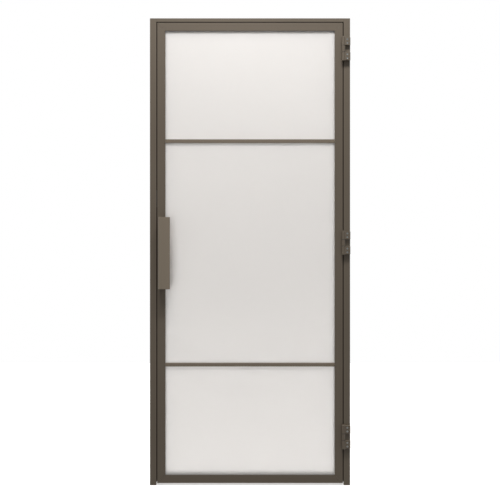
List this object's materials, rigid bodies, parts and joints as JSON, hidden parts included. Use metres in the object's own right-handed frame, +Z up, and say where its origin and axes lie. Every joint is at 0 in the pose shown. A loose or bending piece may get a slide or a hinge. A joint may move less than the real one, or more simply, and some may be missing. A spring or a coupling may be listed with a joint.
{
  "type": "glazed swing door with frame",
  "caption": "Slim framed swing door with its jambs and head, satin glass, thin bars, knuckle hinges at one side and a bent-plate pull on each face.",
  "frame": {"origin": "at floor level, in the middle of the frame's width and of the leaf's thickness", "axes": "+X across the door towards the hinges, +Y away from the pull side that opens towards the viewer, +Z up"},
  "size_m": [0.9, 0.13, 2.1],
  "materials": {
    "bronze_coat": "satin",
    "bronze_hinge": "satin",
    "bronze_bar": "satin",
    "bronze_pull": "satin",
    "bare_aluminium": "mill finish",
    "zinc_steel": "zinc plated",
    "seal_rubber": "matte",
    "black_plastic": "matte",
    "satin_glass": "satin",
    "bonding_tape": "matte",
    "magnet": "satin"
  },
  "bodies": {
    "frame": {"jamb_hinge_side": "bronze_coat", "jamb_lock_side": "bronze_coat", "head": "bronze_coat", "head_block_hinge_side": "bare_aluminium", "head_block_lock_side": "bare_aluminium", "frame_corner_screws": "zinc_steel", "stop_seal_hinge_side": "seal_rubber", "stop_seal_lock_side": "seal_rubber", "stop_seal_head": "seal_rubber", "keeper_plate": "zinc_steel", "keeper_screws": "zinc_steel", "hinge_frame_part_low": "bronze_hinge", "hinge_frame_part_mid": "bronze_hinge", "hinge_frame_part_top": "bronze_hinge", "hinge_pin_low": "zinc_steel", "hinge_pin_mid": "zinc_steel", "hinge_pin_top": "zinc_steel", "hinge_caps": "bronze_hinge", "hinge_frame_screws": "zinc_steel", "hinge_backing_jamb": "zinc_steel"},
    "leaf": {"stile_hinge_side": "bronze_coat", "stile_lock_side": "bronze_coat", "rail_top": "bronze_coat", "rail_bottom": "bronze_coat", "leaf_cleat_top_hinge": "bare_aluminium", "leaf_cleat_top_lock": "bare_aluminium", "leaf_cleat_bottom_hinge": "bare_aluminium", "leaf_cleat_bottom_lock": "bare_aluminium", "leaf_corner_screws": "zinc_steel", "glass_pane": "satin_glass", "glass_gasket_front": "seal_rubber", "glass_gasket_back": "seal_rubber", "setting_blocks": "black_plastic", "bead_hinge_side": "bronze_coat", "bead_lock_side": "bronze_coat", "bead_top": "bronze_coat", "bead_bottom": "bronze_coat", "bar_front_upper": "bronze_bar", "bar_front_lower": "bronze_bar", "bar_back_upper": "bronze_bar", "bar_back_lower": "bronze_bar", "bar_tapes": "bonding_tape", "pull_front": "bronze_pull", "pull_back": "bronze_pull", "pull_bolts": "zinc_steel", "pull_spacers": "zinc_steel", "hinge_leaf_part_low": "bronze_hinge", "hinge_leaf_part_mid": "bronze_hinge", "hinge_leaf_part_top": "bronze_hinge", "hinge_bushes_low": "black_plastic", "hinge_bushes_mid": "black_plastic", "hinge_bushes_top": "black_plastic", "hinge_leaf_screws": "zinc_steel", "hinge_backing_stile": "zinc_steel", "catch_housing": "black_plastic", "catch_magnet": "magnet", "catch_screws": "zinc_steel"}
  },
  "joints": [
    {"name": "leaf_swing", "type": "hinge", "parent": "frame", "child": "leaf", "pos_m": [0.419, -0.029, 1.09], "axis": [0, 0, 1], "range_deg": [0, 170]}
  ]
}
